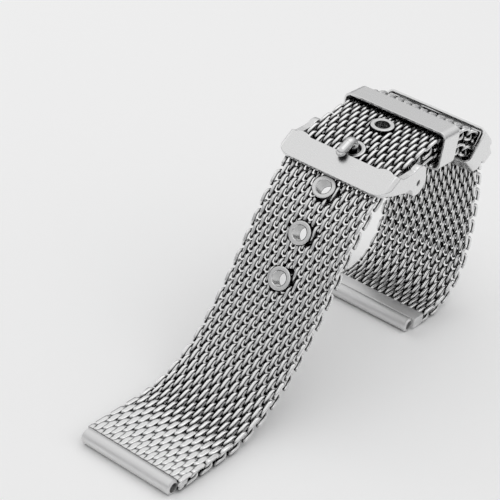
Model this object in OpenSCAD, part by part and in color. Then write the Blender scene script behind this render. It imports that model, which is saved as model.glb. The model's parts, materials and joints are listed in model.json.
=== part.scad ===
// Milanese mesh bracelet, buckled, standing on its two lug ends.
// Origin: the middle of the long strap's lug bore. +X across the strap, +Y towards the buckle, +Z up.

/* [Woven mesh] */
// Width of both straps
strap_w = 22; // [16:1:26]
// Distance between the two legs of one turn of a coil, times two
turn_pitch = 2; // [2:0.05:2.2]
// Distance between one coil and the next, along the strap
row_pitch = 2.1; // [2.05:0.05:2.3]
// Diameter of the coil wire
wire_d = 0.8; // [0.6:0.05:0.85]
// Thickness of the mesh over its wires
mesh_t = 2.8; // [2.7:0.1:3.1]
// Half the straight length of a leg
leg_half = 0.65; // [0.55:0.05:0.7]
// Coils in the short strap's last run before its lug tube
short_end_rows = 5; // [4:1:8]

/* [Lug ends] */
// Outer diameter of the tube that a spring bar passes through
lug_od = 3; // [2.6:0.1:3.2]
// Bore of that tube
lug_bore = 2; // [1.4:0.1:2.1]
// Length of that tube
lug_len = 20.6; // [14:0.1:24]
// Length of the pressed end between the tube and the first coil
press_len = 2; // [1.6:0.1:3]
// How much longer the short strap's pressed end is at its lug tube
press_extra = 1.3; // [0:0.1:2]
// Thickness of the pressed end
press_t = 2.3; // [1.8:0.1:2.6]
// Bevel round a lug tube's ends
lug_bevel = 0.3; // [0.2:0.1:0.4]

/* [Eyelets] */
// Hole through an eyelet
eyelet_bore = 3; // [2.6:0.1:3.2]
// Wall of an eyelet's barrel
eyelet_wall = 0.25; // [0.15:0.05:0.3]
// Diameter of an eyelet's flanges
flange_d = 4.8; // [4.6:0.1:5.2]
// Height of a flange above the wires
flange_t = 0.25; // [0.15:0.05:0.35]

/* [Buckle] */
// Depth of the front bar
bar_depth = 5.4; // [4:0.1:6]
// Thickness of the front bar
bar_t = 1; // [0.8:0.1:1.2]
// Height of the bar's top above the hinge
bar_rise = 7.8; // [7.6:0.1:8.4]
// Distance of the bar's rear edge ahead of the hinge
bar_ahead = 4.5; // [4:0.1:5]
// Slope of the buckle against the strap, down towards the front
bar_slope = 21; // [20:1:24]
// Bevel along the bar's ends
bar_bevel = 0.7; // [0.4:0.1:1]
// Thickness of an arm
arm_t = 1.4; // [1:0.1:2]
// Radius of the ear round the hinge hole
ear_r = 2.7; // [2:0.1:2.8]
// Diameter of the tongue's rod where it passes an eyelet
tongue_d = 1.6; // [1.2:0.1:1.6]
// Diameter of the tongue's tip
tip_d = 2; // [1.6:0.1:2.2]

/* [Spring bar] */
// Outer diameter of the barrel
barrel_od = 1.8; // [1.5:0.1:1.8]
// Wall of the barrel
barrel_wall = 0.2; // [0.15:0.05:0.25]
// Diameter of a pin's tip
pin_d = 1.1; // [0.8:0.1:1.1]
// How far a pin can be pressed in, which takes its tip out of the arm
pin_travel = 1.3; // [1.2:0.1:1.4]

/* [Keepers] */
// Width of a keeper along the strap
keeper_w = 5.5; // [4:0.1:6]
// Thickness of a keeper's strip
keeper_t = 0.5; // [0.4:0.1:0.9]
// Inner corner radius of a keeper
keeper_r = 1; // [0.8:0.1:1.2]
// Room between a keeper and the underside of the short strap
keeper_slack = 0.6; // [0.5:0.1:0.8]

/* [Tip] */
// Depth of the rim's end band
rim_band = 2.6; // [2:0.1:2.8]
// Length of the rim's legs beyond the band
rim_leg = 5; // [3:0.1:6]
// Width of a leg of the rim
rim_leg_w = 2.2; // [1.6:0.1:3]
// Thickness of the rim's sheet
rim_t = 0.25; // [0.15:0.05:0.3]
// Thickness of the rim's end
rim_end_t = 0.6; // [0.4:0.1:0.8]

/* [Fits] */
// Radial clearance of a pin, barrel or tongue loop
running = 0.05; // [0.03:0.01:0.08]
// Gap between parts that slide past each other
slide_gap = 0.3; // [0.25:0.05:0.4]
// Gap at a welded seam
seam = 0.02; // [0.01:0.01:0.03]

/* [Hidden] */
$fn = 32;
wire_r = wire_d / 2;
bend_swell = 0.02;
leg_sink = 0.05;
leg_h = (mesh_t - wire_d) / 2;
leg_step = turn_pitch / 2;
bend_r = sqrt(pow(leg_step, 2) / 4 + pow(leg_h, 2));
bend_reach = leg_half + bend_r;
last_leg = 2 * floor(((strap_w - wire_d) / leg_step - 1) / 2) + 1;
mesh_w = last_leg * leg_step + wire_d;

// Rows of coils in each woven piece, from the lug tube of the long strap, and from the hinge of the short one
long_rows = [4, 4, 4, 4, 4, 5, 4, 5, 4, 5, 4, 7];
short_rows = [5, 4, 4, 5, 5, 6, short_end_rows];
first_holed = 5;
tail_rows = 2;
buckled_hole = 8;
start_len = lug_od / 2 + press_len;

// Where each woven piece starts and ends, counted in rows
function rows_before(rows, i) = i <= 0 ? 0 : rows[i - 1] + rows_before(rows, i - 1);
function total(list, i = 0) = i >= len(list) ? 0 : list[i] + total(list, i + 1);
function lengths(arcs) = [for (a = arcs) a[0]];
function turned(arcs) = total([for (a = arcs) a[1]]);
function two_digits(i) = str(i < 10 ? "0" : "", i);

// A strap's side view is a chain of arcs, each a length and the angle it turns through, upwards positive.
// A pose is [y, z, heading].
function moved(pose, run, turn) =
    let (chord = turn == 0 ? run : 360 * run / (PI * turn) * sin(turn / 2))
    [pose[0] + chord * cos(pose[2] + turn / 2), pose[1] + chord * sin(pose[2] + turn / 2), pose[2] + turn];
function pose_at(arcs, s, pose = [0, 0, 0], i = 0) =
    i >= len(arcs) ? moved(pose, s, 0)
    : s <= arcs[i][0] ? moved(pose, s, arcs[i][1] * s / arcs[i][0])
    : pose_at(arcs, s - arcs[i][0], moved(pose, arcs[i][0], arcs[i][1]), i + 1);
function after(arcs, s, i = 0) =
    i >= len(arcs) ? []
    : s >= arcs[i][0] ? after(arcs, s - arcs[i][0], i + 1)
    : concat([[arcs[i][0] - s, arcs[i][1] * (arcs[i][0] - s) / arcs[i][0]]],
             [for (j = [i + 1:1:len(arcs) - 1]) arcs[j]]);
function beside(arcs, gap) = [for (a = arcs) [a[0] + gap * a[1] * PI / 180, a[1]]];
function run(rows, turn) = [rows * row_pitch, rows * turn];
// Distance along the long strap to the eyelet of piece i, which is in its middle but for the tail's extra rows
function hole_at(i) = start_len + row_pitch
    * (rows_before(long_rows, i) + (long_rows[i] - (i == len(long_rows) - 1 ? tail_rows : 0)) / 2);

// The long strap lies flat, climbs to the buckle, crests it and turns down behind it
flat_rows = 5;
long_arcs = [[start_len + flat_rows * row_pitch, 0], run(10, 4.9), run(7, 1.7), run(4, 0.5),
             run(3, -2), run(8, -5.2), run(7, -2.3), run(10, -5)];
long_len = start_len + total(long_rows) * row_pitch;
tip_arc = long_arcs[len(long_arcs) - 1];
tip_radius = -180 * tip_arc[0] / (PI * tip_arc[1]);

// The short strap runs under it from the hinge, drops behind it, then turns back under and lies flat
stack = mesh_t + flange_t + 0.2;
hole_s = hole_at(buckled_hole);
hinge_behind = 3.6;
hinge_s = hole_s + hinge_behind;
hinge_top = pose_at(long_arcs, hinge_s);
hinge = [hinge_top[0] + stack * sin(hinge_top[2]), hinge_top[1] - stack * cos(hinge_top[2]), hinge_top[2]];
held_arcs = beside(after(long_arcs, hinge_s), stack);
tuck = [5.5, -22];
fall_len = 17.5;
fall_turn = -90 - hinge[2] - turned(held_arcs) - tuck[1];
settle_len = 16.5;
settle_turn = -90;
// The upright run between them is as long as it takes to land level with the other end
steep = concat(held_arcs, [tuck, [fall_len, fall_turn]]);
steep_end = pose_at(steep, total(lengths(steep)), hinge);
landing = pose_at([[settle_len, settle_turn]], settle_len, steep_end);
drop = -landing[1] / sin(steep_end[2]);
short_len = 2 * start_len + total(short_rows) * row_pitch + press_extra;
short_arcs = concat(steep, [[drop, 0], [settle_len, settle_turn]]);

clear_r = eyelet_bore / 2 + eyelet_wall + wire_r + 0.05;
barrel_r = barrel_od / 2;
barrel_inner = barrel_r - barrel_wall;
arm_in = strap_w / 2 + slide_gap;
arm_out = arm_in + arm_t;
barrel_half = arm_in - 0.4;
barrel_end = 0.3;
pin_shoulder = 0.8;
pin_sink = 0.1;
release = 0.1;
spring_wire = 0.2;
tongue_w = 2.2;
loop_r = barrel_r + running + 0.6;

LONG = [for (i = [1:len(long_rows)]) str("long_mesh_", two_digits(i))];
SHORT = [for (i = [1:len(short_rows)]) str("short_mesh_", two_digits(i))];
EYELETS = [for (i = [1:len(long_rows) - first_holed]) str("eyelet_", i)];

steel = [0.80, 0.80, 0.81];
polished = [0.86, 0.86, 0.87];
dark_steel = [0.55, 0.55, 0.57];

// Puts its children at a pose, with Y along the strap and Z out of its outer face
module at_pose(pose) {
    translate([0, pose[0], pose[1]]) rotate([pose[2], 0, 0]) children();
}

// Legs and bends of a coil. A bend is a hair fuller than the leg that runs a little way into it, as bent wire is.
module leg(x, side, from, to) {
    if (to > from)
        translate([x, from - leg_sink, side * leg_h]) rotate([-90, 0, 0])
            cylinder(r = wire_r - bend_swell, h = to - from + 2 * leg_sink);
}

module bend(x, side, far) {
    translate([x + leg_step / 2, far * leg_half, 0])
        rotate([0, atan2(-side * leg_h, -leg_step / 2), 0])
            mirror([0, far < 0 ? 1 : 0, 0])
                rotate_extrude(angle = 180) translate([bend_r, 0]) circle(r = wire_r);
}

function leg_x(j) = (j - last_leg / 2) * leg_step;
function is_top(j, parity) = (j + parity) % 2 == 0 ? 1 : -1;
// How far from the hole's middle a leg at x must stop
function stop_at(x) = abs(x) >= clear_r ? 0 : sqrt(clear_r * clear_r - x * x);
// Whether a bend reaches into an eyelet that lies hole_y along the strap from its coil
function bend_cut(x, far, hole_y) = hole_y != undef && min(
    norm([x, far * leg_half - hole_y]),
    norm([x + leg_step, far * leg_half - hole_y]),
    norm([x + leg_step / 2, far * bend_reach - hole_y])) < clear_r;

// One coil across the strap, with its wire cut where an eyelet passes
module coil(parity, hole_y = undef, inset = 0) {
    for (j = [inset:last_leg - inset]) {
        x = leg_x(j);
        side = is_top(j, parity);
        far = side;
        if (j < last_leg - inset && !bend_cut(x, far, hole_y))
            bend(x, side, far);
        if (hole_y == undef || stop_at(x) == 0)
            leg(x, side, -leg_half, leg_half);
        else {
            front_cut = bend_cut(far < 0 ? x : x - leg_step, -1, hole_y);
            back_cut = bend_cut(far > 0 ? x : x - leg_step, 1, hole_y);
            from = hole_y + stop_at(x);
            to = hole_y - stop_at(x);
            leg(x, side, front_cut && hole_y < 0 ? from : max(-leg_half, from), leg_half);
            leg(x, side, -leg_half, back_cut && hole_y > 0 ? to : min(leg_half, to));
        }
    }
}

// A woven piece: some rows of coils along a strap, with an eyelet's hole at hole_s if it has one
module woven(arcs, pose, rows, i, hole_s = undef, tip = false) {
    color(steel)
        for (r = [0:rows[i] - 1]) {
            row = rows_before(rows, i) + r;
            s = start_len + (row + 0.5) * row_pitch;
            at_pose(pose_at(arcs, s, pose))
                coil(row % 2, hole_s != undef && abs(hole_s - s) < clear_r + bend_reach ? hole_s - s : undef,
                     tip && r == rows[i] - 1 ? 1 : 0);
        }
}

// The pressed end that joins the first coil to a tube at the strap's start
module pressed_end(tube_r, length = start_len) {
    color(steel)
        difference() {
            translate([-mesh_w / 2 + seam, tube_r / 2, -press_t / 2])
                cube([mesh_w - 2 * seam, length - tube_r / 2, press_t]);
            rotate([0, 90, 0]) cylinder(r = tube_r + seam, h = 2 * strap_w, center = true);
            children();
        }
}

module long_mesh(i) {
    woven(long_arcs, [0, 0, 0], long_rows, i, i < first_holed ? undef : hole_at(i), i == len(long_rows) - 1);
    if (i == 0) at_pose([0, 0, 0]) pressed_end(lug_od / 2);
}

module short_mesh(i) {
    woven(short_arcs, hinge, short_rows, i);
    if (i == 0)
        at_pose(hinge) pressed_end(lug_od / 2)
            cube([tongue_w + 2 * slide_gap, 2 * (loop_r + slide_gap), mesh_t], center = true);
    if (i == len(short_rows) - 1)
        at_pose(pose_at(short_arcs, short_len, hinge)) rotate([0, 0, 180])
            pressed_end(lug_od / 2, start_len + press_extra);
}

module tube(length, outer, inner) {
    rotate([0, 90, 0]) difference() {
        cylinder(d = outer, h = length, center = true);
        cylinder(d = inner, h = length + 1, center = true);
    }
}

module lug_tube() {
    color(steel) rotate([0, 90, 0]) rotate_extrude()
        polygon([for (end = [-1, 1], p = end < 0 ? lug_corners : reversed(lug_corners)) [p[0], end * p[1]]]);
}
lug_corners = [[lug_bore / 2, lug_len / 2], [lug_od / 2 - lug_bevel, lug_len / 2],
               [lug_od / 2, lug_len / 2 - lug_bevel]];
function reversed(list) = [for (i = [len(list) - 1:-1:0]) list[i]];

module long_lug_tube() { lug_tube(); }
module short_lug_tube() { at_pose(pose_at(short_arcs, short_len, hinge)) lug_tube(); }

module hinge_tube(side) {
    inner = tongue_w / 2 + slide_gap;
    color(steel) at_pose(hinge) translate([side * (inner + strap_w / 2) / 2, 0, 0])
        tube(strap_w / 2 - inner, lug_od, barrel_od + 2 * running);
}

// How far the long strap's face bows out under a flange, upwards positive
function bow(s) =
    (pose_at(long_arcs, s + 1)[2] - pose_at(long_arcs, s - 1)[2]) / 2 * PI / 180 * pow(flange_d / 2, 2) / 2;

// An eyelet is a flanged tube clenched over both faces of the mesh
module eyelet(i) {
    s = hole_at(i);
    bore_r = eyelet_bore / 2;
    outer_r = bore_r + eyelet_wall;
    upper = mesh_t / 2 + seam + max(0, bow(s));
    lower = -mesh_t / 2 - seam + min(0, bow(s));
    top = upper + flange_t;
    bottom = lower - flange_t;
    edge = flange_t / 2;
    color(polished) at_pose(pose_at(long_arcs, s)) rotate_extrude()
        polygon([[bore_r, bottom + edge / 2], [bore_r + edge / 2, bottom], [flange_d / 2 - edge, bottom],
                 [flange_d / 2, bottom + edge], [flange_d / 2, lower], [outer_r, lower], [outer_r, upper],
                 [flange_d / 2, upper], [flange_d / 2, top - edge], [flange_d / 2 - edge, top],
                 [bore_r + edge / 2, top], [bore_r, top - edge / 2]]);
}

// The rim folded over the long strap's tip, as a curved box that is open towards the strap and between its legs
module tip_rim() {
    clear = mesh_t / 2 + seam;
    half_w = mesh_w / 2 + seam;
    reach = bend_reach - row_pitch / 2 + wire_r + seam + rim_t;
    leg_end = rim_band + rim_leg;
    color(polished) at_pose(pose_at(long_arcs, long_len)) translate([0, 0, -tip_radius])
        rotate([0, 90, 0]) rotate([0, 0, 180]) difference() {
            rim_sweep(-reach - rim_end_t, leg_end, clear + rim_t, half_w + rim_t, 2 * rim_t);
            rim_sweep(-reach, leg_end + rim_band, clear, half_w, rim_t);
            rim_sweep(rim_band, leg_end + rim_band, 2 * mesh_t, half_w - rim_leg_w, rim_t);
        }
}

// Sweeps a rounded section along the tip's arc, between two distances back from the strap's last row
module rim_sweep(from, to, half_h, half_w, corner) {
    rotate([0, 0, 180 * from / (PI * tip_radius)]) rotate_extrude(angle = 180 * (to - from) / (PI * tip_radius))
        translate([tip_radius, 0]) rounded(half_h, -half_w, half_w, corner);
}

// The buckle's own frame: hinge at the origin, turned so that the bar lies level
module at_buckle() {
    at_pose(hinge) rotate([bar_slope, 0, 0]) children();
}

module arm() {
    lobe = [0.3, 1.1];
    translate([arm_in, 0, 0]) rotate([90, 0, 90]) linear_extrude(arm_t) difference() {
        union() {
            circle(r = ear_r);
            translate(lobe) circle(r = ear_r - seam);
            polygon([[-bar_ahead - bar_depth, bar_rise], [-bar_ahead, bar_rise],
                     [-bar_ahead + bar_t, bar_rise - 1.8 * bar_t], [-ear_r * 0.6, ear_r * 1.75],
                     [lobe[0], lobe[1] + ear_r * 0.94], [ear_r * 0.94, -ear_r * 0.34],
                     [-ear_r * 0.34, -ear_r * 0.94], [-bar_ahead, bar_rise / 3.2],
                     [-bar_ahead - bar_depth * 0.7, bar_rise - bar_t * 1.5],
                     [-bar_ahead - bar_depth, bar_rise - bar_t]]);
        }
        circle(d = pin_d + 2 * running);
        translate([-bar_ahead * 0.98, -bar_rise * 0.04]) circle(r = bar_rise * 0.28);
    }
}

// The buckle seen from above: a bar with rounded front corners, which the arms' outer faces follow too
module outline(back) {
    corner = 3;
    front = -bar_ahead - bar_depth;
    translate([-arm_out + corner, front]) square([2 * (arm_out - corner), back - front]);
    translate([-arm_out, front + corner]) square([2 * arm_out, back - front - corner]);
    for (side = [-1, 1]) translate([side * (arm_out - corner), front + corner]) circle(r = corner);
}

module buckle_frame() {
    color(polished) at_buckle() difference() {
        union() {
            intersection() {
                union() {
                    arm();
                    mirror([1, 0, 0]) arm();
                }
                translate([0, 0, -2 * ear_r]) linear_extrude(bar_rise + 2 * ear_r) outline(2 * ear_r);
            }
            translate([0, 0, bar_rise - bar_t]) linear_extrude(bar_t) outline(-bar_ahead);
        }
        for (side = [-1, 1]) translate([side * arm_out, 0, bar_rise]) rotate([0, 45, 0])
            cube([bar_bevel * sqrt(2), 4 * (bar_ahead + bar_depth), bar_bevel * sqrt(2)], center = true);
    }
}

// The tongue's rod runs forward under the strap, up through the eyelet, where it thickens, and forward onto the bar
module tongue() {
    low_bend = 1.2;
    top_bend = 1.5;
    tip_run = 1;
    tip_r = tip_d / 2;
    swell_z = 3.9;
    rise_y = hinge_behind + 0.3;
    over = 90 + bar_slope / 2;
    bar_y = bar_ahead * cos(bar_slope) + bar_rise * sin(bar_slope);
    bar_z = bar_rise * cos(bar_slope) - bar_ahead * sin(bar_slope);
    end_y = rise_y + top_bend - top_bend * cos(over);
    crest = bar_z + (tip_r + seam) / sin(over) - (bar_y - end_y) / tan(over);
    top_start = crest - top_bend * sin(over);
    lie = (bar_y - end_y) / sin(over) + tip_run;
    color(polished) at_pose(hinge) {
        difference() {
            union() {
                rotate([0, 90, 0]) cylinder(r = loop_r, h = tongue_w, center = true);
                rod([0, -barrel_r - running, 0], 90, rise_y - low_bend - barrel_r - running, tongue_d);
            }
            rotate([0, 90, 0]) cylinder(r = barrel_r + running, h = tongue_w + 1, center = true);
        }
        elbow([0, low_bend - rise_y, low_bend], low_bend, 180, 90, tongue_d);
        rod([0, -rise_y, low_bend], 0, swell_z - low_bend - leg_sink, tongue_d);
        translate([0, -rise_y, swell_z]) cylinder(d1 = tongue_d - 2 * bend_swell, d2 = tip_d - 2 * bend_swell,
            h = top_start + leg_sink - swell_z);
        elbow([0, -rise_y - top_bend, top_start], top_bend, 0, over, tip_d);
        rod([0, -end_y, crest], over, lie, tip_d);
        translate([0, -end_y, crest]) rotate([over, 0, 0]) translate([0, 0, lie])
            rotate_extrude() intersection() {
                circle(r = tip_r);
                square(2 * tip_r);
            }
    }
}

// A straight of the rod from a point, tipped forward from upright by lean, a hair thinner than an elbow
module rod(from, lean, length, d) {
    translate(from) rotate([lean, 0, 0]) translate([0, 0, -leg_sink])
        cylinder(d = d - 2 * bend_swell, h = length + 2 * leg_sink);
}

// An elbow of the rod about a centre, from start and through turn, seen from +X and measured from +Y
module elbow(centre, bend, start, turn, d) {
    translate(centre) rotate([0, 90, 0]) rotate([0, 0, 90 + start]) rotate_extrude(angle = turn)
        translate([bend, 0]) circle(d = d);
}

module spring_bar_barrel() {
    color(steel) at_pose(hinge) rotate([0, 90, 0]) difference() {
        cylinder(r = barrel_r, h = 2 * barrel_half, center = true);
        cylinder(r = barrel_inner, h = 2 * (barrel_half - barrel_end), center = true);
        cylinder(r = pin_d / 2 + running, h = 2 * barrel_half + 1, center = true);
    }
}

// A pin: a head inside the barrel and a tip that passes the arm
module pin(side) {
    head_out = barrel_half - barrel_end - seam;
    tip_out = arm_in + pin_travel - release;
    color(polished) at_pose(hinge) mirror([side < 0 ? 1 : 0, 0, 0]) rotate([0, 90, 0]) {
        translate([0, 0, head_out - pin_shoulder]) cylinder(r = barrel_inner - running, h = pin_shoulder);
        translate([0, 0, head_out - pin_sink]) cylinder(d = pin_d, h = tip_out - head_out + pin_sink);
    }
}

module spring_bar_spring() {
    reach = barrel_half - barrel_end - 2 * seam - pin_shoulder;
    color(dark_steel) at_pose(hinge) rotate([0, 90, 0]) difference() {
        cylinder(r = barrel_inner - running, h = 2 * reach, center = true);
        cylinder(r = barrel_inner - running - spring_wire, h = 2 * reach + 1, center = true);
    }
}

// A keeper is a closed strip round both straps
module keeper(s) {
    half_w = mesh_w / 2 + seam + rim_t + slide_gap;
    low = -stack - mesh_t / 2 - keeper_slack;
    high = mesh_t / 2 + flange_t + slide_gap;
    color(polished) at_pose(pose_at(long_arcs, s)) translate([0, keeper_w / 2, 0]) rotate([90, 0, 0])
        linear_extrude(keeper_w) difference() {
            rounded(half_w + keeper_t, low - keeper_t, high + keeper_t, keeper_r + keeper_t);
            rounded(half_w, low, high, keeper_r);
        }
}
module rounded(half_w, low, high, r) {
    translate([-half_w + r, low]) square([2 * (half_w - r), high - low]);
    translate([-half_w, low + r]) square([2 * half_w, high - low - 2 * r]);
    for (x = [-half_w + r, half_w - r], y = [low + r, high - r]) translate([x, y]) circle(r = r);
}
front_keeper_s = hole_s + 16.2;
rear_keeper_s = hole_s + 33;

for (i = [0:len(LONG) - 1]) long_mesh(i);
for (i = [0:len(SHORT) - 1]) short_mesh(i);
for (i = [0:len(EYELETS) - 1]) eyelet(first_holed + i);
long_lug_tube();
short_lug_tube();
tip_rim();
hinge_tube(-1);  // hinge_tube_left
hinge_tube(1);  // hinge_tube_right
buckle_frame();
tongue();
spring_bar_barrel();
spring_bar_spring();
pin(-1);  // pin_left
pin(1);  // pin_right
keeper(front_keeper_s);  // front_keeper
keeper(rear_keeper_s);  // rear_keeper
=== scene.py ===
import json
import math

import bmesh
import bpy
from mathutils import Matrix, Vector


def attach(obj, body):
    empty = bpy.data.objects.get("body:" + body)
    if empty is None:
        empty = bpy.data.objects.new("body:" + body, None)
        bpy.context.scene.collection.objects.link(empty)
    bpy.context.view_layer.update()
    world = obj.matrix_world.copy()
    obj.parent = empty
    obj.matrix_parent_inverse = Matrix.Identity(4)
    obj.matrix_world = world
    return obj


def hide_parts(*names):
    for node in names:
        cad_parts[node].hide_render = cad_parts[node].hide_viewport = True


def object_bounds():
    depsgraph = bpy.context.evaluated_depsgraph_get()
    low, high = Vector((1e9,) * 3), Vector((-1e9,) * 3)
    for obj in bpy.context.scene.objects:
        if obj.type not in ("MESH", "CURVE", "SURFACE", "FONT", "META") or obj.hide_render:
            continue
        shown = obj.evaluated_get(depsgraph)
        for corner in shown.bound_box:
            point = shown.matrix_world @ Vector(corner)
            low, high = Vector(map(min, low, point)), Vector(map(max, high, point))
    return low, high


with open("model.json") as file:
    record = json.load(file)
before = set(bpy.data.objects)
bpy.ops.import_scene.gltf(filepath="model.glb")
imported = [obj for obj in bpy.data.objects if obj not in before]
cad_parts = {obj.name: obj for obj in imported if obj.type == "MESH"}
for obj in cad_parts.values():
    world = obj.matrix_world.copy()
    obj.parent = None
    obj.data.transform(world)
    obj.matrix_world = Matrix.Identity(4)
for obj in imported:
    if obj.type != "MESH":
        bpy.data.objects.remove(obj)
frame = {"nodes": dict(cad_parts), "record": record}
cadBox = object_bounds()
nodes = frame["nodes"]
bodies = frame["record"]["behaviour"]["bodies"]
bodyOf = {node: body for body, members in bodies.items() for node in members}
scene = bpy.context.scene
scene.view_settings.view_transform = "Standard"
mm = 0.001
print("frame loaded,", len(nodes), "nodes")


# camera, in metres: a long lens from the open side, looking down at the buckle, tipped a little
camera = {
    "lens": 120.2,
    "sensor": 36,
    "clipStart": 0.01,
    "clipEnd": 10,
    "place": (0.13969, -0.19163, 0.18471),
    "forward": (-0.463, 0.7291, -0.5028),
    "up": (-0.403, 0.3321, 0.8524),
}


def placeCamera(c):
    data = bpy.data.cameras.new("camera")
    data.lens = c["lens"]
    data.sensor_width = c["sensor"]
    data.clip_start = c["clipStart"]
    data.clip_end = c["clipEnd"]
    cam = bpy.data.objects.new("camera", data)
    scene.collection.objects.link(cam)
    forward = Vector(c["forward"]).normalized()
    right = forward.cross(Vector(c["up"])).normalized()
    up = right.cross(forward)
    turn = Matrix((right, up, -forward)).transposed().to_4x4()
    cam.matrix_world = Matrix.Translation(c["place"]) @ turn
    scene.camera = cam


placeCamera(camera)
print("camera placed")


# floor and light, in metres
studio = {
    "floorColor": (0.97, 0.97, 0.97),
    "floorSize": 3.0,
    "floorDrop": 0.0001,      # the floor lies this far under the lowest point
    "skyStrength": 0.85,
    "zenith": (1.0, 1.0, 1.0),
    "zenithFrom": 0.6,        # the height in the sky, from 0 to 1, where its full brightness begins
    "horizon": (0.30, 0.30, 0.31),
    "lamps": [
        # name, place, size, watts, looks at
        ("topSoft", (0.06, 0.22, 0.48), 0.44, 0.20, (0, 0.05, 0.01)),
        ("leftSoft", (-0.46, 0.06, 0.20), 0.36, 0.16, (0, 0.04, 0.02)),
    ],
}


def floorMaterial(s):
    material = bpy.data.materials.new("paleFloor")
    material.use_nodes = True
    tree = material.node_tree
    tree.nodes.clear()
    out = tree.nodes.new("ShaderNodeOutputMaterial")
    matte = tree.nodes.new("ShaderNodeBsdfDiffuse")
    matte.inputs["Color"].default_value = (*s["floorColor"], 1)
    tree.links.new(matte.outputs[0], out.inputs["Surface"])
    return material


def makeFloor(s, lowest):
    bm = bmesh.new()
    bmesh.ops.create_grid(bm, x_segments=1, y_segments=1, size=s["floorSize"] / 2)
    bmesh.ops.translate(bm, verts=bm.verts, vec=(0, 0, lowest - s["floorDrop"]))
    data = bpy.data.meshes.new("floor")
    bm.to_mesh(data)
    bm.free()
    data.materials.append(floorMaterial(s))
    floor = bpy.data.objects.new("floor", data)
    scene.collection.objects.link(floor)


def makeWorld(s):
    world = bpy.data.worlds.new("studio")
    scene.world = world
    world.use_nodes = True
    tree = world.node_tree
    tree.nodes.clear()
    add = tree.nodes.new
    link = tree.links.new
    out = add("ShaderNodeOutputWorld")
    coords = add("ShaderNodeTexCoord")
    split = add("ShaderNodeSeparateXYZ")
    ramp = add("ShaderNodeValToRGB")
    low, high = ramp.color_ramp.elements
    low.color = (*s["horizon"], 1)
    high.position = s["zenithFrom"]
    high.color = (*s["zenith"], 1)
    light = add("ShaderNodeBackground")
    light.inputs["Strength"].default_value = s["skyStrength"]
    link(coords.outputs["Generated"], split.inputs[0])
    link(split.outputs["Z"], ramp.inputs[0])
    link(ramp.outputs["Color"], light.inputs["Color"])
    link(light.outputs[0], out.inputs["Surface"])


def addLamp(name, place, size, watts, lookAt):
    data = bpy.data.lights.new(name, "AREA")
    data.shape = "DISK"
    data.size = size
    data.energy = watts
    lamp = bpy.data.objects.new(name, data)
    scene.collection.objects.link(lamp)
    lamp.location = place
    aim = Vector(lookAt) - Vector(place)
    lamp.rotation_euler = aim.to_track_quat("-Z", "Y").to_euler()


makeFloor(studio, cadBox[0].z)
makeWorld(studio)
for lamp in studio["lamps"]:
    addLamp(*lamp)
print("floor and lamps placed")


# shader groups that the finishes share
grain = {
    "scratchDetail": 4,
    "cloudScale": 260,
    "cloudDetail": 3,
    "cloudShare": 0.6,        # how much the cloud counts beside the scratches
    "middle": 0.8,            # the sum of both where a surface has its plain roughness
}
# the painted shade in gaps samples this many ambient occlusion rays
paintedShadeRays = 8


def newGroup(name, takes, gives):
    group = bpy.data.node_groups.new(name, "ShaderNodeTree")
    for way, sockets in (("INPUT", takes), ("OUTPUT", gives)):
        for socket, kind in sockets.items():
            group.interface.new_socket(name=socket, in_out=way, socket_type="NodeSocket" + kind)
    return group


def steelGrain(g):
    # fine scratches and a cloudy polish: puts out a height and a roughness
    group = newGroup(
        "steelGrain",
        {"Scale": "Float", "Stretch": "Vector", "Roughness": "Float", "Spread": "Float"},
        {"Height": "Float", "Roughness": "Float"})
    add = group.nodes.new
    link = group.links.new
    inputs = add("NodeGroupInput")
    outputs = add("NodeGroupOutput")
    coords = add("ShaderNodeTexCoord")
    stretch = add("ShaderNodeVectorMath")
    stretch.operation = "MULTIPLY"
    link(coords.outputs["Object"], stretch.inputs[0])
    link(inputs.outputs["Stretch"], stretch.inputs[1])
    scratches = add("ShaderNodeTexNoise")
    scratches.inputs["Detail"].default_value = g["scratchDetail"]
    link(stretch.outputs[0], scratches.inputs["Vector"])
    link(inputs.outputs["Scale"], scratches.inputs["Scale"])
    cloud = add("ShaderNodeTexNoise")
    cloud.inputs["Scale"].default_value = g["cloudScale"]
    cloud.inputs["Detail"].default_value = g["cloudDetail"]
    link(coords.outputs["Object"], cloud.inputs["Vector"])
    both = add("ShaderNodeMath")
    both.operation = "MULTIPLY_ADD"
    both.inputs[1].default_value = g["cloudShare"]
    link(cloud.outputs["Fac"], both.inputs[0])
    link(scratches.outputs["Fac"], both.inputs[2])
    centred = add("ShaderNodeMath")
    centred.operation = "SUBTRACT"
    centred.inputs[1].default_value = g["middle"]
    link(both.outputs[0], centred.inputs[0])
    rough = add("ShaderNodeMath")
    rough.operation = "MULTIPLY_ADD"
    rough.use_clamp = True
    link(centred.outputs[0], rough.inputs[0])
    link(inputs.outputs["Spread"], rough.inputs[1])
    link(inputs.outputs["Roughness"], rough.inputs[2])
    link(scratches.outputs["Fac"], outputs.inputs["Height"])
    link(rough.outputs[0], outputs.inputs["Roughness"])
    return group


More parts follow.
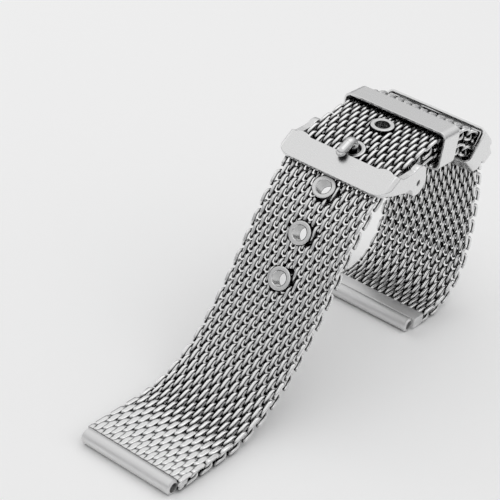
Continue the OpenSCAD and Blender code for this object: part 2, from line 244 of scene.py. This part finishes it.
def paintedShade(rays):
    # painted shade: darkens the colour towards a shade colour in the gaps between wires and along
    # seams, where ambient occlusion finds the surface hollow
    group = newGroup(
        "paintedShade",
        {"Color": "Color", "Shade": "Color", "Reach": "Float", "Start": "Float", "End": "Float"},
        {"Color": "Color"})
    add = group.nodes.new
    link = group.links.new
    inputs = add("NodeGroupInput")
    outputs = add("NodeGroupOutput")
    hollow = add("ShaderNodeAmbientOcclusion")
    hollow.samples = rays
    link(inputs.outputs["Reach"], hollow.inputs["Distance"])
    fade = add("ShaderNodeMapRange")
    fade.interpolation_type = "SMOOTHSTEP"
    link(hollow.outputs["AO"], fade.inputs["Value"])
    link(inputs.outputs["Start"], fade.inputs["From Min"])
    link(inputs.outputs["End"], fade.inputs["From Max"])
    mix = add("ShaderNodeMix")
    mix.data_type = "RGBA"
    link(fade.outputs["Result"], mix.inputs["Factor"])
    link(inputs.outputs["Shade"], mix.inputs["A"])
    link(inputs.outputs["Color"], mix.inputs["B"])
    link(mix.outputs["Result"], outputs.inputs["Color"])
    return group


grainGroup = steelGrain(grain)
paintedShadeGroup = paintedShade(paintedShadeRays)


# finishes: what each one gives to the two shader groups, the grain and the painted shade in gaps, and
# the strength of its bump
bumpDepth = 0.05 * mm
finishes = {
    "wireSteel": {
        "grain": {"Scale": 900, "Stretch": (1, 0.25, 1), "Roughness": 0.22, "Spread": 0.18},
        "color": (0.86, 0.86, 0.86),
        "shadeColor": (0.006, 0.006, 0.007),
        "gapShade": {"Reach": 0.0013, "Start": 0.55, "End": 1.0},
        "bump": 0.06,
    },
    "tubeSteel": {
        "grain": {"Scale": 1500, "Stretch": (0.08, 1, 1), "Roughness": 0.45, "Spread": 0.35},
        "color": (0.74, 0.74, 0.74),
        "shadeColor": (0.02, 0.02, 0.02),
        "gapShade": {"Reach": 0.0005, "Start": 0.12, "End": 0.5},
        "bump": 0.10,
    },
    "polishedSteel": {
        "grain": {"Scale": 1400, "Stretch": (0.12, 1, 1), "Roughness": 0.26, "Spread": 0.15},
        "color": (0.80, 0.80, 0.80),
        "shadeColor": (0.04, 0.04, 0.04),
        "gapShade": {"Reach": 0.0006, "Start": 0.05, "End": 0.45},
        "bump": 0.03,
    },
    "rivetSteel": {
        "grain": {"Scale": 1200, "Stretch": (1, 1, 1), "Roughness": 0.22, "Spread": 0.15},
        "color": (0.72, 0.72, 0.72),
        "shadeColor": (0.02, 0.02, 0.02),
        "gapShade": {"Reach": 0.002, "Start": 0.35, "End": 0.95},
        "bump": 0.03,
    },
    # near black, painted shade: stands in for the shade in the ear holes where the spring bar's pins
    # sit
    "pinShadeSteel": {
        "grain": {"Scale": 1200, "Stretch": (1, 1, 1), "Roughness": 0.35, "Spread": 0.2},
        "color": (0.05, 0.05, 0.055),
        "shadeColor": (0.005, 0.005, 0.005),
        "gapShade": {"Reach": 0.0008, "Start": 0.3, "End": 0.9},
        "bump": 0.05,
    },
}


def addGroup(tree, group, values):
    node = tree.nodes.new("ShaderNodeGroup")
    node.node_tree = group
    for socket, value in values.items():
        node.inputs[socket].default_value = value
    return node


def makeSteel(name, f):
    material = bpy.data.materials.new(name)
    material.use_nodes = True
    tree = material.node_tree
    shader = tree.nodes["Principled BSDF"]
    shader.inputs["Metallic"].default_value = 1.0
    surface = addGroup(tree, grainGroup, f["grain"])
    # painted shade: the base colour is mixed towards the shade colour where the surface lies in a gap
    colors = {"Color": (*f["color"], 1), "Shade": (*f["shadeColor"], 1)}
    gapShade = addGroup(tree, paintedShadeGroup, {**colors, **f["gapShade"]})
    bump = tree.nodes.new("ShaderNodeBump")
    bump.inputs["Strength"].default_value = f["bump"]
    bump.inputs["Distance"].default_value = bumpDepth
    link = tree.links.new
    link(surface.outputs["Height"], bump.inputs["Height"])
    link(bump.outputs["Normal"], shader.inputs["Normal"])
    link(surface.outputs["Roughness"], shader.inputs["Roughness"])
    link(gapShade.outputs["Color"], shader.inputs["Base Color"])
    return material


steels = {name: makeSteel(name, f) for name, f in finishes.items()}
print("finishes made")


# the woven straps, in millimetres: each row is a coil of wire that runs across the strap
weave = {
    "rowPitch": 2.1,
    "startLen": 3.5,          # from a tube's middle to its first row
    "legStep": 1.0,           # from one straight leg of a coil to the next, across the strap
    "legHalf": 0.65,          # half a leg's length, along the strap
    "legHeight": 1.0,         # a leg's middle lies this far above or under the strap's middle
    "lastLeg": 21,            # legs are counted from 0
    "wireR": 0.365,
    "thickness": 2.8,
    "wireBevel": 3,           # bevel resolution, which gives a wire ten sides
    "bendSteps": 7,
    "hookTurn": 55,           # degrees that a free end is curled
    "hookSteps": 4,
    "cutRadius": 2.2,         # wires stop here round an eyelet's axis, under its flange
    "bendRoom": 1.2,          # a coil's bends reach nearly this far beyond its legs
    "mergeDist": 0.0001,
}
longStrap = {
    "names": "long_mesh_%02d",
    "rows": [4, 4, 4, 4, 4, 5, 4, 5, 4, 5, 4, 7],
    "firstHoled": 5,          # the first group with an eyelet, where groups are counted from 0
    "tailRows": 2,            # the last group has these beyond the rows that its eyelet is centred in
    "tilt": 6,                # degrees that each coil leans, so a leg rises to its far bend
    "start": (0.0, 0.0, 0.0),
    # the length and the turn of each arc, upwards positive
    "arcs": [(14.0, 0), (21.0, 49), (14.7, 11.9), (8.4, 2),
             (6.3, -6), (16.8, -41.6), (14.7, -16.1), (21.0, -50)],
}
# the short strap lies under the long one from its hinge, drops behind it and turns back under
shortRoute = {
    "names": "short_mesh_%02d",
    "rows": [5, 4, 4, 5, 5, 6, 5],
    "tilt": 3,
    "stack": 3.25,            # its middle lies this far under the long strap's
    "hingeGroup": 8,          # the long strap's group whose eyelet holds the tongue
    "hingeAfter": 3.6,        # the hinge lies this far behind that eyelet
    "drop": (5.5, -22),       # the arc with which it leaves the long strap
    "fallLen": 17.5,          # the next arc, which ends straight down
    "foot": (16.5, -90),      # the last arc, which ends flat on the floor
    "endRoom": 1.3,           # between the last row and the tube, beyond startLen
}
# the long strap's rows beside its tube are pressed flat
pressed = {
    "until": 7.0,             # the row that is round again
    "over": 4.5,              # over this many rows the squeeze fades
    "extraRows": (0.85, 2.95),  # half buried rows between the tube and the first one
    "tubeEdge": 1.2,          # and where they end at the tube
    "widen": 0.24,
    "flat": 0.38,
}


# a pose along a strap is y, z and the turn in degrees of its middle line
def moved(pose, run, turn):
    half = math.radians(turn) / 2
    chord = run if turn == 0 else run / half * math.sin(half)
    along = math.radians(pose[2]) + half
    return (pose[0] + chord * math.cos(along), pose[1] + chord * math.sin(along), pose[2] + turn)


def poseAt(arcs, s, pose):
    for length, turn in arcs:
        if s <= length:
            return moved(pose, s, turn * s / length)
        pose = moved(pose, length, turn)
        s -= length
    return moved(pose, s, 0)


def arcsAfter(arcs, s):
    for i, (length, turn) in enumerate(arcs):
        if s < length:
            left = (length - s) / length
            return [(left * length, left * turn)] + arcs[i + 1:]
        s -= length


def placed(pose):
    turn = Matrix.Rotation(math.radians(pose[2]), 4, "X")
    return Matrix.Translation((0, pose[0], pose[1])) @ turn


def rowsBefore(strap, i):
    return sum(strap["rows"][:i])


def rowAt(number):
    return weave["startLen"] + (number + 0.5) * weave["rowPitch"]


def holeAt(i):
    rows = longStrap["rows"]
    extra = longStrap["tailRows"] if i == len(rows) - 1 else 0
    rowsToHole = rowsBefore(longStrap, i) + (rows[i] - extra) / 2
    return weave["startLen"] + rowsToHole * weave["rowPitch"]


def shortStrapOf(route):
    stack = route["stack"]
    hingeS = holeAt(route["hingeGroup"]) + route["hingeAfter"]
    above = poseAt(longStrap["arcs"], hingeS, longStrap["start"])
    lean = math.radians(above[2])
    hinge = (above[0] + stack * math.sin(lean), above[1] - stack * math.cos(lean), above[2])
    arcs = [(length + stack * math.radians(turn), turn)
            for length, turn in arcsAfter(longStrap["arcs"], hingeS)]
    arcs.append(route["drop"])
    turned = hinge[2] + sum(turn for length, turn in arcs)
    arcs.append((route["fallLen"], -90 - turned))
    low = poseAt(arcs, sum(length for length, turn in arcs), hinge)
    landing = moved(low, *route["foot"])
    arcs += [(landing[1], 0), route["foot"]]
    rowsLen = sum(route["rows"]) * weave["rowPitch"]
    return {
        "names": route["names"],
        "rows": route["rows"],
        "tilt": route["tilt"],
        "start": hinge,
        "arcs": arcs,
        "length": 2 * weave["startLen"] + rowsLen + route["endRoom"],
    }


shortStrap = shortStrapOf(shortRoute)


def curlPoints(w, x, end, side):
    # a free end of wire, curled from its leg towards the strap's middle
    angles = [math.radians(w["hookTurn"]) * k / w["hookSteps"] for k in range(1, w["hookSteps"] + 1)]
    return [Vector((x, end * (w["legHalf"] + w["legHeight"] * math.sin(a)),
                    side * w["legHeight"] * math.cos(a))) for a in angles]


def bendPoints(w, x, side):
    # the bend from one leg to the next, which lies on the strap's other side
    reach = math.hypot(w["legStep"] / 2, w["legHeight"])
    angles = [math.pi * k / w["bendSteps"] for k in range(1, w["bendSteps"])]
    return [Vector((x + w["legStep"] / 2 * (1 - math.cos(a)),
                    side * (w["legHalf"] + reach * math.sin(a)),
                    side * w["legHeight"] * math.cos(a))) for a in angles]


def coilPath(w, odd, inset, tilt):
    # the wire of one coil as one line of points, from the curl of one free end to the other
    points = []
    legs = range(inset, w["lastLeg"] - inset + 1)
    for j in legs:
        x = (j - w["lastLeg"] / 2) * w["legStep"]
        side = 1 if (j + odd) % 2 == 0 else -1
        if j == legs[0]:
            points += reversed(curlPoints(w, x, -side, side))
        points.append(Vector((x, -side * w["legHalf"], side * w["legHeight"])))
        points.append(Vector((x, side * w["legHalf"], side * w["legHeight"])))
        if j == legs[-1]:
            points += curlPoints(w, x, side, side)
        else:
            points += bendPoints(w, x, side)
    lean = Matrix.Rotation(math.radians(tilt), 3, "X")
    return [lean @ p for p in points]


def cutAround(points, holeY, radius):
    # drops what lies within the radius of the hole's axis, and ends the wire exactly there
    def away(p):
        return math.hypot(p.x, p.y - holeY) - radius
    runs = []
    current = []
    for a, b in zip(points, points[1:]):
        awayA = away(a)
        awayB = away(b)
        if awayA > 0 and not current:
            current = [a]
        if awayA > 0 and awayB > 0:
            current.append(b)
        elif awayA > 0 or awayB > 0:
            edge = a.lerp(b, awayA / (awayA - awayB))
            if awayA > 0:
                runs.append(current + [edge])
                current = []
            else:
                current = [edge, b]
    if current:
        runs.append(current)
    return [run for run in runs if len(run) > 1]


def wireMesh(runs, radius, bevelSteps):
    curve = bpy.data.curves.new("wire", "CURVE")
    curve.dimensions = "3D"
    curve.bevel_depth = radius
    curve.bevel_resolution = bevelSteps
    curve.use_fill_caps = True
    for points in runs:
        spline = curve.splines.new("POLY")
        spline.points.add(len(points) - 1)
        for target, p in zip(spline.points, points):
            target.co = (*p, 1)
    holder = bpy.data.objects.new("wire", curve)
    scene.collection.objects.link(holder)
    graph = bpy.context.evaluated_depsgraph_get()
    data = bpy.data.meshes.new_from_object(holder.evaluated_get(graph))
    bpy.data.objects.remove(holder)
    bpy.data.curves.remove(curve)
    return data


def cutAtTube(row, y, dist):
    # ends a row at a plane across the strap and closes the cut wires
    cut = bmesh.ops.bisect_plane(
        row, geom=row.verts[:] + row.edges[:] + row.faces[:], dist=dist,
        plane_co=(0, y, 0), plane_no=(0, -1, 0), clear_outer=True)
    rims = [e for e in cut["geom_cut"] if isinstance(e, bmesh.types.BMEdge)]
    bmesh.ops.holes_fill(row, edges=rims)


def addRow(bm, strap, s, odd, inset=0, holeS=None, squeeze=0.0, endsAt=None):
    w = weave
    runs = [coilPath(w, odd, inset, strap["tilt"])]
    if holeS is not None:
        runs = cutAround(runs[0], holeS - s, w["cutRadius"])
    data = wireMesh(runs, w["wireR"] + pressed["widen"] * squeeze, w["wireBevel"])
    row = bmesh.new()
    row.from_mesh(data)
    bmesh.ops.remove_doubles(row, verts=row.verts, dist=w["mergeDist"])
    high = w["thickness"] / 2 - pressed["flat"] * squeeze
    wide = w["lastLeg"] / 2 * w["legStep"] + w["wireR"]
    for v in row.verts:
        v.co.z = max(-high, min(high, v.co.z))
        v.co.x = max(-wide, min(wide, v.co.x))
    if endsAt is not None:
        cutAtTube(row, endsAt - s, w["mergeDist"])
    place = placed(poseAt(strap["arcs"], s, strap["start"]))
    bmesh.ops.transform(row, verts=row.verts, matrix=place)
    row.to_mesh(data)
    row.free()
    bm.from_mesh(data)
    bpy.data.meshes.remove(data)


def addPiece(bm, name, node, material):
    data = bpy.data.meshes.new(name)
    bm.to_mesh(data)
    bm.free()
    data.materials.append(material)
    piece = bpy.data.objects.new(name, data)
    scene.collection.objects.link(piece)
    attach(piece, bodyOf[node])
    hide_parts(node)


def addRoundPiece(bm, name, node, material):
    # a piece that was made in millimetres and is shaded smooth all over
    bmesh.ops.scale(bm, verts=bm.verts, vec=(mm, mm, mm))
    for face in bm.faces:
        face.smooth = True
    addPiece(bm, name, node, material)


def squeezeAt(number):
    # 1 where a row is pressed flat, and 0 from the first round row on
    return min(1.0, max(0.0, (pressed["until"] - number) / pressed["over"]))


def weavePiece(strap, i):
    w = weave
    node = strap["names"] % (i + 1)
    isLong = strap is longStrap
    holeS = holeAt(i) if isLong and i >= strap["firstHoled"] else None
    lastRow = sum(strap["rows"]) - 1
    bm = bmesh.new()
    if isLong and i == 0:
        for k, s in enumerate(pressed["extraRows"]):
            addRow(bm, strap, s, k % 2, squeeze=1.0, endsAt=pressed["tubeEdge"])
    for r in range(strap["rows"][i]):
        number = rowsBefore(strap, i) + r
        s = rowAt(number)
        near = holeS is not None and abs(holeS - s) < w["cutRadius"] + w["legHalf"] + w["bendRoom"]
        tip = isLong and number == lastRow
        addRow(bm, strap, s, number % 2, inset=1 if tip else 0, holeS=holeS if near else None,
               squeeze=squeezeAt(number) if isLong else 0.0)
    addRoundPiece(bm, "woven_" + node, node, steels["wireSteel"])


for strap in (longStrap, shortStrap):
    for i in range(len(strap["rows"])):
        weavePiece(strap, i)
print("straps woven")


# the pressed ends between the first rows and the tubes
plate = {
    "halfWidth": 10.85,
    "fromTube": 1.25,         # how far from a tube's middle a plate starts
    "edge": 0.18,
    "edgeSteps": 3,
}
shortEnd = poseAt(shortStrap["arcs"], shortStrap["length"], shortStrap["start"])
pressedEnds = [
    # name, node, pose of its tube, how far it reaches, thickness, half the gap for the tongue
    # the first is thin, as it is hidden under pressed rows
    ("pressed_end_long", "long_mesh_01", longStrap["start"], 3.4, 1.1, 0.0),
    ("pressed_end_hinge", "short_mesh_01", shortStrap["start"], 3.4, 2.3, 1.45),
    ("pressed_end_short", "short_mesh_07", (*shortEnd[:2], shortEnd[2] + 180), 4.75, 2.3, 0.0),
]


def addPlate(bm, p, pose, end, thickness, halfWidth, middle):
    made = bmesh.ops.create_cube(bm, size=1)["verts"]
    bmesh.ops.scale(bm, verts=made, vec=(2 * halfWidth, end - p["fromTube"], thickness))
    bmesh.ops.translate(bm, verts=made, vec=(middle, (p["fromTube"] + end) / 2, 0))
    edges = list({e for v in made for e in v.link_edges})
    done = bmesh.ops.bevel(bm, geom=edges, offset=p["edge"], offset_type="OFFSET",
                           segments=p["edgeSteps"], profile=0.5, affect="EDGES", material=-1)
    made = list({v for f in done["faces"] for v in f.verts} | {v for v in made if v.is_valid})
    bmesh.ops.transform(bm, verts=made, matrix=placed(pose))


def pressedEnd(p, name, node, pose, end, thickness, gap):
    bm = bmesh.new()
    if gap:
        half = (p["halfWidth"] - gap) / 2
        for side in (-1, 1):
            addPlate(bm, p, pose, end, thickness, half, side * (gap + half))
    else:
        addPlate(bm, p, pose, end, thickness, p["halfWidth"], 0.0)
    addRoundPiece(bm, name, node, steels["tubeSteel"])


for end in pressedEnds:
    pressedEnd(plate, *end)
print("pressed ends made")


# polished pieces get rounded edges that catch the light
soft = {
    "frameEdges": {"buckle_frame": 0.15, "front_keeper": 0.12, "rear_keeper": 0.12, "tip_rim": 0.08},
    "rivets": 7,
    "rivetEdge": 0.12,
    "edgeSteps": 3,
    "mergeDist": 0.002,
    "sameFace": 1,            # degrees within which faces are one
    "sharpFrom": 30,          # degrees from which an edge is rounded
    "creaseFrom": 35,         # degrees from which an edge is shaded sharp afterwards
    "flatFrom": 0.8,          # square millimetres from which a face is shaded flat
}


def roundEdges(bm, s, width):
    bmesh.ops.remove_doubles(bm, verts=bm.verts, dist=s["mergeDist"] * mm)
    bmesh.ops.dissolve_limit(bm, angle_limit=math.radians(s["sameFace"]),
                             verts=bm.verts, edges=bm.edges)
    sharpFrom = math.radians(s["sharpFrom"])
    sharp = [e for e in bm.edges if len(e.link_faces) == 2 and e.calc_face_angle() > sharpFrom]
    bmesh.ops.bevel(bm, geom=sharp, offset=width * mm, offset_type="OFFSET",
                    segments=s["edgeSteps"], profile=0.5, affect="EDGES",
                    clamp_overlap=False, material=-1)


def shadeByAngle(bm, s):
    # large faces stay flat, so that only bends and rounded edges are shaded round
    bm.normal_update()
    creaseFrom = math.radians(s["creaseFrom"])
    for face in bm.faces:
        face.smooth = face.calc_area() < s["flatFrom"] * mm * mm
    for edge in bm.edges:
        edge.smooth = len(edge.link_faces) == 2 and edge.calc_face_angle() < creaseFrom


def softened(s, node, width, material):
    bm = bmesh.new()
    bm.from_mesh(nodes[node].data)
    roundEdges(bm, s, width)
    shadeByAngle(bm, s)
    addPiece(bm, node + "_soft", node, material)


for node, width in soft["frameEdges"].items():
    softened(soft, node, width, steels["polishedSteel"])
for i in range(soft["rivets"]):
    softened(soft, "eyelet_%d" % (i + 1), soft["rivetEdge"], steels["rivetSteel"])
print("polished pieces softened")


def paint(obj, material):
    obj.data.materials.clear()
    obj.data.materials.append(material)


for name in nodes:
    if name == "tongue":
        paint(nodes[name], steels["rivetSteel"])
    elif "_tube" in name or name == "spring_bar_barrel":
        paint(nodes[name], steels["tubeSteel"])
    # the spring bar's spring and pins get the near black painted shade of the holes they sit in
    elif name in ("spring_bar_spring", "pin_left", "pin_right"):
        paint(nodes[name], steels["pinShadeSteel"])
print("nodes painted")
